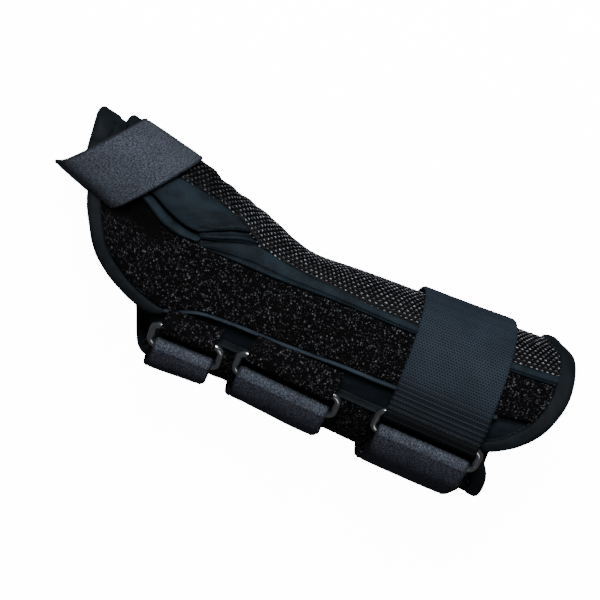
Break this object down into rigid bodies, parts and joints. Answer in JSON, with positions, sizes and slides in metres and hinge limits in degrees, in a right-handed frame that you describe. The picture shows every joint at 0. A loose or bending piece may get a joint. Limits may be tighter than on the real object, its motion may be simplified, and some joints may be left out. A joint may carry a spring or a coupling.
{
  "type": "wrist splint",
  "caption": "Wrist and thumb splint for the left hand: soft panelled sleeve with a thumb tube, flat stays, glossy strap loops and peel-back straps.",
  "frame": {"origin": "middle of the bottom of the bounding box, on the plane of the palm stay pocket, on which the splint lies", "axes": "+X along the forearm towards the elbow, +Y the thumb side, +Z the back of the hand"},
  "size_m": [0.2501, 0.1108, 0.0796],
  "materials": {
    "loop_pile": "looped pile, matte with light specks",
    "spacer_mesh": "coarse open spacer mesh",
    "smooth_fabric": "smooth stretch fabric, soft sheen",
    "lining": "brushed lining",
    "binding": "rolled stretch binding",
    "webbing": "ribbed woven elastic",
    "strap_fabric": "brushed laminated strap",
    "hook_plastic": "moulded hook field",
    "ring_plastic": "glossy moulded",
    "grip_plastic": "satin moulded cap",
    "stay_metal": "brushed, rounded edges",
    "spring_steel": "polished spring steel"
  },
  "bodies": {
    "shell": {"radial_loop_panel": "loop_pile", "stay_sleeve": "smooth_fabric", "radial_mesh_panel": "spacer_mesh", "palm_grip_panel": "smooth_fabric", "palm_panel": "loop_pile", "ulnar_loop_panel": "loop_pile", "palm_liner": "lining", "hand_back_liner": "lining", "sleeve_liner": "lining", "thumb_liner": "lining", "closure_tongue": "smooth_fabric", "thumb_gusset": "smooth_fabric", "thumb_web_panel": "smooth_fabric", "thumb_mesh_panel": "spacer_mesh", "thumb_rim_binding": "binding", "hand_binding": "binding", "palm_binding": "binding", "ulnar_binding": "binding", "radial_closure_piping": "binding", "ulnar_closure_piping": "binding", "forearm_binding": "binding", "palm_stay_pocket": "smooth_fabric", "radial_spring_stay": "spring_steel", "hand_ring_tab": "loop_pile", "hand_strap_base": "strap_fabric", "wrist_ring_tab": "loop_pile", "wrist_strap_base": "strap_fabric", "forearm_ring_tab": "webbing", "forearm_strap_base": "strap_fabric", "forearm_webbing": "webbing", "thumb_strap_base": "strap_fabric"},
    "palm_stay": {"palm_stay": "stay_metal", "palm_stay_grip": "grip_plastic"},
    "thumb_stay": {"thumb_stay": "stay_metal"},
    "thumb_strap_end": {"thumb_strap_tail": "strap_fabric", "thumb_hook_tab": "hook_plastic"},
    "hand_loop": {"hand_ring": "ring_plastic", "hand_strap_fold": "strap_fabric"},
    "hand_strap_end": {"hand_strap_tail": "strap_fabric", "hand_hook_tab": "hook_plastic"},
    "wrist_loop": {"wrist_ring": "ring_plastic", "wrist_strap_fold": "strap_fabric"},
    "wrist_strap_end": {"wrist_strap_tail": "strap_fabric", "wrist_hook_tab": "hook_plastic"},
    "forearm_loop": {"forearm_ring": "ring_plastic", "forearm_strap_fold": "strap_fabric"},
    "forearm_strap_end": {"forearm_strap_tail": "strap_fabric", "forearm_hook_tab": "hook_plastic"}
  },
  "joints": [
    {"name": "palm_stay_slide", "type": "slide", "parent": "shell", "child": "palm_stay", "axis": [1, 0, 0], "range_m": [0, 0.19]},
    {"name": "thumb_stay_slide", "type": "slide", "parent": "shell", "child": "thumb_stay", "axis": [-0.9605, 0.2596, -0.1003], "range_m": [0, 0.058]},
    {"name": "hand_loop_hinge", "type": "hinge", "parent": "shell", "child": "hand_loop", "pos_m": [-0.04304, -0.02338, 0.05462], "axis": [-0.9871, -0.0409, -0.155], "range_deg": [0, 25]},
    {"name": "hand_strap_peel", "type": "hinge", "parent": "hand_loop", "child": "hand_strap_end", "pos_m": [-0.04195, -0.0417, 0.05189], "axis": [-0.9871, -0.0409, -0.155], "range_deg": [0, 150]},
    {"name": "wrist_loop_hinge", "type": "hinge", "parent": "shell", "child": "wrist_loop", "pos_m": [0.00524, -0.01989, 0.06332], "axis": [-0.9876, 0.0267, -0.1544], "range_deg": [0, 25]},
    {"name": "wrist_strap_peel", "type": "hinge", "parent": "wrist_loop", "child": "wrist_strap_end", "pos_m": [0.00605, -0.0382, 0.06097], "axis": [-0.9876, 0.0267, -0.1544], "range_deg": [0, 150]},
    {"name": "forearm_loop_hinge", "type": "hinge", "parent": "shell", "child": "forearm_loop", "pos_m": [0.07195, -0.0166, 0.0741], "axis": [-0.9937, 0.007, -0.1116], "range_deg": [0, 25]},
    {"name": "forearm_strap_peel", "type": "hinge", "parent": "forearm_loop", "child": "forearm_strap_end", "pos_m": [0.07255, -0.03483, 0.07308], "axis": [-0.9937, 0.007, -0.1116], "range_deg": [0, 150]},
    {"name": "thumb_strap_peel", "type": "hinge", "parent": "shell", "child": "thumb_strap_end", "pos_m": [-0.08925, 0.05294, 0.03222], "axis": [0.957, -0.2871, 0.0419], "range_deg": [0, 110]}
  ]
}
